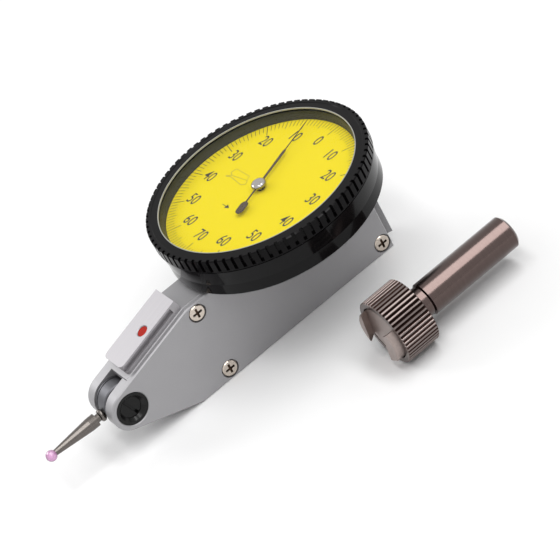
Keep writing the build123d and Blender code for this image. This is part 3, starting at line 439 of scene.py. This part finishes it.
def graduations(name, length, width, steps):
    """Copies one bar to each of the steps round the dial and joins the copies."""
    first = printed_bar(name, length, width)
    made = []
    for step in steps:
        bar = first.copy()
        bar.data = first.data.copy()
        bpy.context.collection.objects.link(bar)
        bar.data.transform(Matrix.Rotation(step * turn_step, 4, "Z"))
        made.append(bar)
    bpy.data.objects.remove(first)
    bpy.ops.object.select_all(action="DESELECT")
    for bar in made:
        bar.select_set(True)
    bpy.context.view_layer.objects.active = made[0]
    bpy.ops.object.join()
    made[0].name = name
    settle(made[0], ink, "bezel_group")


fine_steps = [step for step in range(divisions) if step % 5]
five_steps = [step for step in range(divisions) if step % 10 == 5]
ten_steps = [step for step in range(divisions) if step % 10 == 0]
graduations("fine_graduations", length=1.55 * mm, width=0.085 * mm, steps=fine_steps)
graduations("five_graduations", length=1.95 * mm, width=0.095 * mm, steps=five_steps)
graduations("ten_graduations", length=2.6 * mm, width=0.12 * mm, steps=ten_steps)

number_size = 3.2 * mm
number_weight = 0.01 * mm
number_narrowing = 0.78


def printed_number(name, words, place):
    """A number in ink on the dial, upright towards +X and read towards -Y."""
    bpy.ops.object.select_all(action="DESELECT")
    bpy.ops.object.text_add()
    label = bpy.context.object
    label.name = name
    label.data.body = words
    label.data.size = number_size
    label.data.align_x = "CENTER"
    label.data.align_y = "CENTER"
    label.data.offset = number_weight
    label.data.extrude = ink_height / 2
    bpy.ops.object.convert(target="MESH")
    label = bpy.context.object
    label.data.transform(Matrix.Diagonal((number_narrowing, 1, 1, 1)))
    label.data.transform(Matrix.Rotation(-math.pi / 2, 4, "Z"))
    label.data.transform(Matrix.Translation((place[0], place[1], dial_top + ink_height / 2)))
    settle(label, ink, "bezel_group")


number_along = 12.8 * mm
number_across = 12.5 * mm
number_shift = 0.42 * mm
for tens in range(divisions // 10):
    value = 10 * min(tens, divisions // 10 - tens)
    angle = tens * 10 * turn_step
    side = "right" if tens < divisions // 20 else "left"
    spot = (number_along * math.cos(angle), number_shift - number_across * math.sin(angle))
    printed_number(f"number_{value}_{side}", str(value), spot)


# Small drawing and arrow on the dial: faint lines of grey ink that sketch the indicator with its
# stylus from the side, and a black arrow by the pointer's tail for the way the stylus swings.
faint = Finish("dial_faint_ink")
faint_tone = faint.noise(faint.place(), scale=3000)
faint.set(
    base_color=faint.blend(faint_tone, (0.36, 0.30, 0.03, 1), (0.44, 0.37, 0.05, 1)),
    roughness=0.5 + faint_tone * 0.1,
)


def printed_line(name, finish, width, *corners):
    """A thin line of ink on the dial through its corners, which are given in millimetres."""
    bpy.ops.object.select_all(action="DESELECT")
    bpy.ops.curve.primitive_bezier_curve_add(location=(0, 0, 0))
    line = bpy.context.object
    line.name = name
    line.data.splines.clear()
    run = line.data.splines.new("POLY")
    run.points.add(len(corners) - 1)
    for point, (along, across) in zip(run.points, corners):
        point.co = (along * mm, across * mm, dial_top, 1)
    line.data.bevel_depth = width / 2
    line.data.bevel_resolution = 1
    line.data.use_fill_caps = True
    bpy.ops.object.convert(target="MESH")
    settle(bpy.context.object, finish, "bezel_group")


drawn_width = 0.11 * mm
case_outline = ((-0.2, 9.4), (0.9, 9.2), (0.9, 5.0), (0.0, 4.5), (-0.6, 8.5), (-0.2, 9.4))
body_outline = ((-1.3, 9.4), (-0.9, 8.4), (-1.3, 4.6), (-0.8, 3.9), (-0.3, 4.1), (0.0, 4.5))
printed_line("drawing_case", faint, drawn_width, *case_outline)
printed_line("drawing_body", faint, drawn_width, *body_outline)
printed_line("drawing_stylus", faint, drawn_width, (-1.2, 9.7), (-0.6, 8.6))

arrow_along = -6.0
head_base = 2.4
head_length = 1.0
head_width = 0.95
tail_length = 1.1
tail_width = 0.12 * mm
tail_end = (arrow_along, head_base + tail_length)
printed_line("arrow_tail", ink, tail_width, tail_end, (arrow_along, head_base))
bpy.ops.object.select_all(action="DESELECT")
bpy.ops.mesh.primitive_plane_add(size=1, location=(0, 0, 0))
head = bpy.context.object
head.name = "arrow_head"
head.scale = (head_width * mm, head_length * mm, 1)
head.location = (arrow_along * mm, (head_base - head_length / 2) * mm, dial_top)
bpy.ops.object.transform_apply(location=True, rotation=True, scale=True)
bpy.ops.object.mode_set(mode="EDIT")
bpy.ops.mesh.select_mode(type="VERT")
bpy.ops.mesh.select_all(action="DESELECT")
bpy.ops.object.mode_set(mode="OBJECT")
for corner in head.data.vertices:
    corner.select = corner.co.y < (head_base - head_length / 2) * mm
bpy.ops.object.mode_set(mode="EDIT")
bpy.ops.mesh.merge(type="CENTER")
bpy.ops.mesh.select_all(action="SELECT")
bpy.ops.mesh.extrude_region_move(TRANSFORM_OT_translate={"value": (0, 0, ink_height)})
bpy.ops.mesh.select_all(action="SELECT")
bpy.ops.mesh.normals_make_consistent(inside=False)
bpy.ops.object.mode_set(mode="OBJECT")
settle(head, ink, "bezel_group")

# Pointer: a lance with an oval tail, cut from thin sheet and lacquered a dark brown. It is pressed
# on the centre arbor under a polished round cap.
dark = Finish("pointer_lacquer", metallic=0.3)
brushed = dark.noise(dark.place(), scale=2500)
dark.set(
    base_color=dark.blend(brushed, (0.035, 0.022, 0.015, 1), (0.07, 0.045, 0.03, 1)),
    roughness=0.3 + brushed * 0.2,
)
dark.on("pointer")
dome = Finish("cap_chrome", metallic=1.0)
shine = dome.noise(dome.place(), scale=2000)
dome.set(
    base_color=dome.blend(shine, (0.36, 0.34, 0.33, 1), (0.44, 0.42, 0.41, 1)),
    roughness=0.07 + shine * 0.06,
)
dome.on("pointer_cap")

# Crystal: a flat disc of clear acrylic, held on the wall ring under the bezel's lip. It shows only
# as a reflection that grows towards the far side, so its alpha follows the angle of sight.
clear = Finish("crystal", metallic=1.0)
wipe = clear.noise(clear.place(), scale=300)
facing = clear.node("ShaderNodeLayerWeight", {}, {"Blend": 0.5}, "Facing")
clear.set(
    base_color=clear.blend(wipe, (0.90, 0.92, 0.93, 1), (0.95, 0.96, 0.96, 1)),
    roughness=0.02 + wipe * 0.03,
    alpha=0.006 + facing ** 6 * 0.7,
)
clear.on("crystal")

# Stem: turned steel with a dark satin nickel plate. The shank fits the usual stands and ends in the
# neck that the collar turns on.
satin = Finish("stem_steel", metallic=1.0, coat_weight=0.35, coat_roughness=0.2)
turned_rings = satin.noise(satin.place(scale=(30, 0.5, 0.5)), scale=300)
satin.set(
    base_color=satin.blend(turned_rings, (0.072, 0.049, 0.045, 1), (0.108, 0.077, 0.070, 1)),
    roughness=0.17 + turned_rings * 0.08,
)
satin.bump(turned_rings, strength=0.08, distance=0.01 * mm)
satin.on("stem_shank")

# Jaws: the same steel, ground and left paler. The collar's thread draws them in, and they close on
# either dovetail of the body.
jaw_steel = Finish("jaw_steel", metallic=0.8)
grind = jaw_steel.noise(jaw_steel.place(scale=(1, 4, 1)), scale=900, detail=3)
jaw_steel.set(
    base_color=jaw_steel.blend(grind, (0.30, 0.245, 0.225, 1), (0.40, 0.335, 0.315, 1)),
    roughness=0.34 + grind * 0.16,
)
jaw_steel.bump(grind, strength=0.1, distance=0.01 * mm)
jaw_steel.on("stem_jaws")

# Clamp collar: the same plated steel, polished on its straight knurl. Its grooves are painted a
# dark brown as shade between the light ridges.
collar_low, collar_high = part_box("clamp_collar")
collar_axis = (collar_low + collar_high) / 2
collar_radius = (collar_high.z - collar_low.z) / 2
groove_room = 0.08 * mm
knurled = Finish("knurled_steel", metallic=1.0)
across = knurled.along("Y") - collar_axis.y
above = knurled.along("Z") - collar_axis.z
in_groove = (collar_radius - groove_room) > (across * across + above * above) ** 0.5
# Mask of the grooves, where a dark brown is painted as shade and the surface is rougher.
groove_painted_shade = (knurled.along("X") > collar_low.x + groove_room) * in_groove
buffed = knurled.noise(knurled.place(scale=(1, 8, 8)), scale=500)
ridge = knurled.blend(buffed, (0.15, 0.122, 0.115, 1), (0.23, 0.193, 0.182, 1))
knurled.set(
    base_color=knurled.blend(groove_painted_shade, ridge, (0.030, 0.016, 0.013, 1)),
    roughness=0.24 + buffed * 0.12 + groove_painted_shade * 0.2,
)
knurled.bump(buffed, strength=0.08, distance=0.01 * mm)
knurled.on("clamp_collar")

# Floor and room: one plain pale sheet under the part, nearly as white as the background, and a
# white room that the camera, the metal and the glass all see. The floor keeps the soft shadow.
floor_size = 6
floor_drop = 0.02 * mm
room_light = 0.4
room_seen = 1.0
bpy.ops.object.select_all(action="DESELECT")
bpy.ops.mesh.primitive_plane_add(size=floor_size, location=(0, 0, cad_low.z - floor_drop))
floor = bpy.context.object
floor.name = "floor"
paper = Finish("floor_paper", roughness=0.8)
paper_tone = paper.noise(paper.place(), scale=40)
paper.set(base_color=paper.blend(paper_tone, (0.96, 0.96, 0.96, 1), (0.98, 0.98, 0.98, 1)))
floor.data.materials.append(paper.material)
world = bpy.data.worlds.new("room")
bpy.context.scene.world = world
world.use_nodes = True
sky = world.node_tree
path = sky.nodes.new("ShaderNodeLightPath")
seen = path.outputs["Is Camera Ray"]
for kind in ("Is Glossy Ray", "Is Transmission Ray"):
    either = sky.nodes.new("ShaderNodeMath")
    either.operation = "MAXIMUM"
    sky.links.new(seen, either.inputs[0])
    sky.links.new(path.outputs[kind], either.inputs[1])
    seen = either.outputs["Value"]
level = sky.nodes.new("ShaderNodeMapRange")
sky.links.new(seen, level.inputs["Value"])
level.inputs["To Min"].default_value = room_light
level.inputs["To Max"].default_value = room_seen
sky.nodes["Background"].inputs["Color"].default_value = (1, 1, 1, 1)
sky.links.new(level.outputs["Result"], sky.nodes["Background"].inputs["Strength"])
bpy.context.scene.view_settings.view_transform = "Standard"
